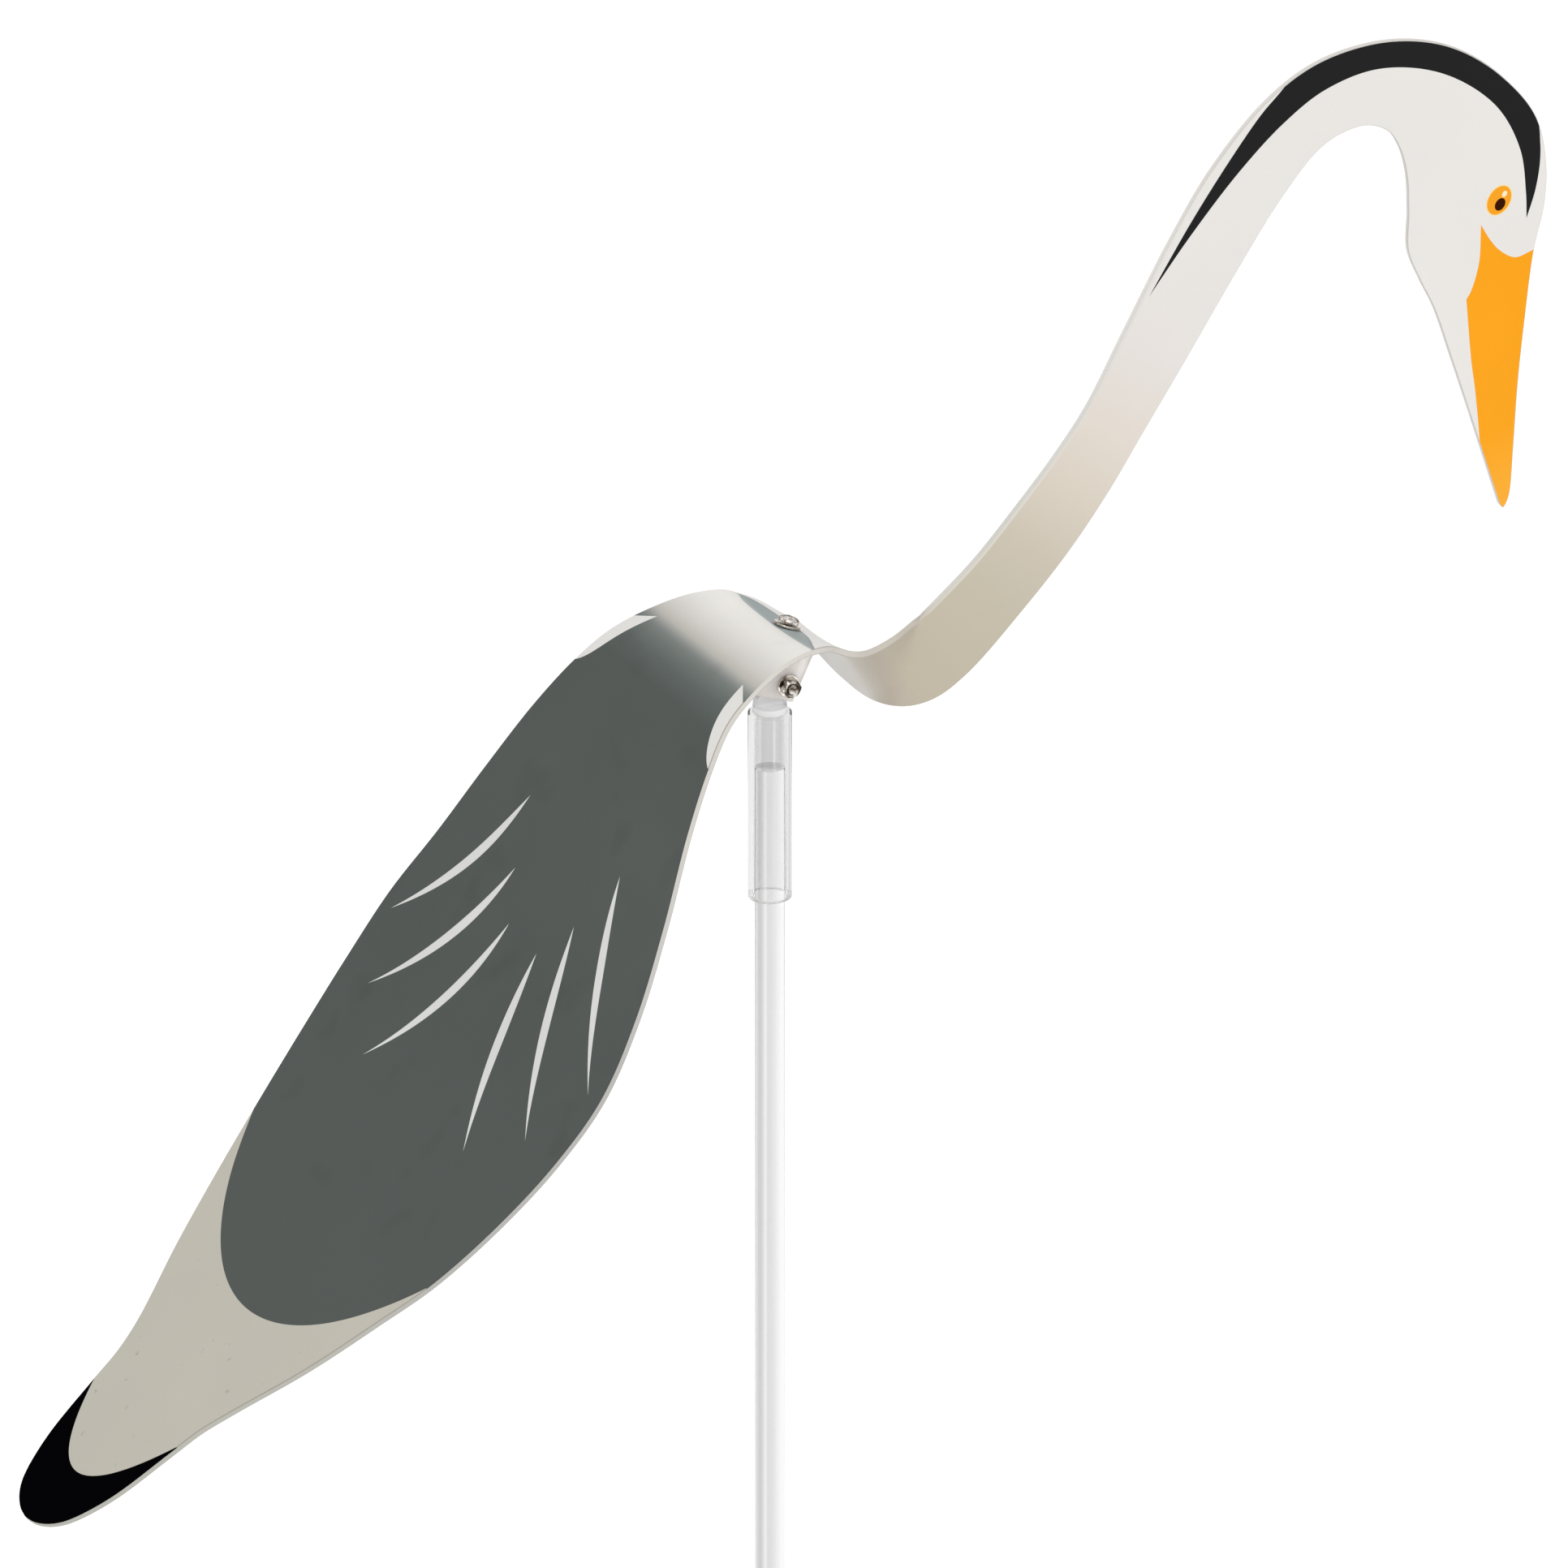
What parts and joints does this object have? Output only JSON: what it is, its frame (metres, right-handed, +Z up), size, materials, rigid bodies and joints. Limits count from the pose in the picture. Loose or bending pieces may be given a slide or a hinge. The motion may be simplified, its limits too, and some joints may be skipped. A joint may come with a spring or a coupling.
{
  "type": "garden bird decoy",
  "caption": "Flat printed plastic heron with a formed body, quarter-turned neck and long beak, rocking on a small bracket bolted to the top of a clear rod.",
  "frame": {"origin": "on the rod's axis at ground level, where the rod goes into the ground", "axes": "+Z up along the rod, +X the way the beak points, +Y to the bird's left"},
  "size_m": [0.6395, 0.2064, 0.9244],
  "materials": {
    "printed_sheet": "satin milky sheet, printed with slate wings, a cream tail, a pale neck and an orange beak",
    "plated_steel": "bright plated",
    "clear_plastic": "clear and polished"
  },
  "bodies": {
    "stand": {"rod": "clear_plastic", "coupler_sleeve": "clear_plastic", "rod_plug": "clear_plastic"},
    "bird": {"heron": "printed_sheet", "collar_washer": "plated_steel", "collar_screw": "plated_steel", "pivot_bracket": "clear_plastic", "pivot_bolt": "plated_steel", "pivot_washer": "plated_steel", "pivot_nut": "plated_steel"}
  },
  "joints": [
    {"name": "rock", "type": "hinge", "parent": "stand", "child": "bird", "pos_m": [0.0053, 0, 0.7], "axis": [0, -1, 0], "range_deg": [-20, 25]}
  ]
}
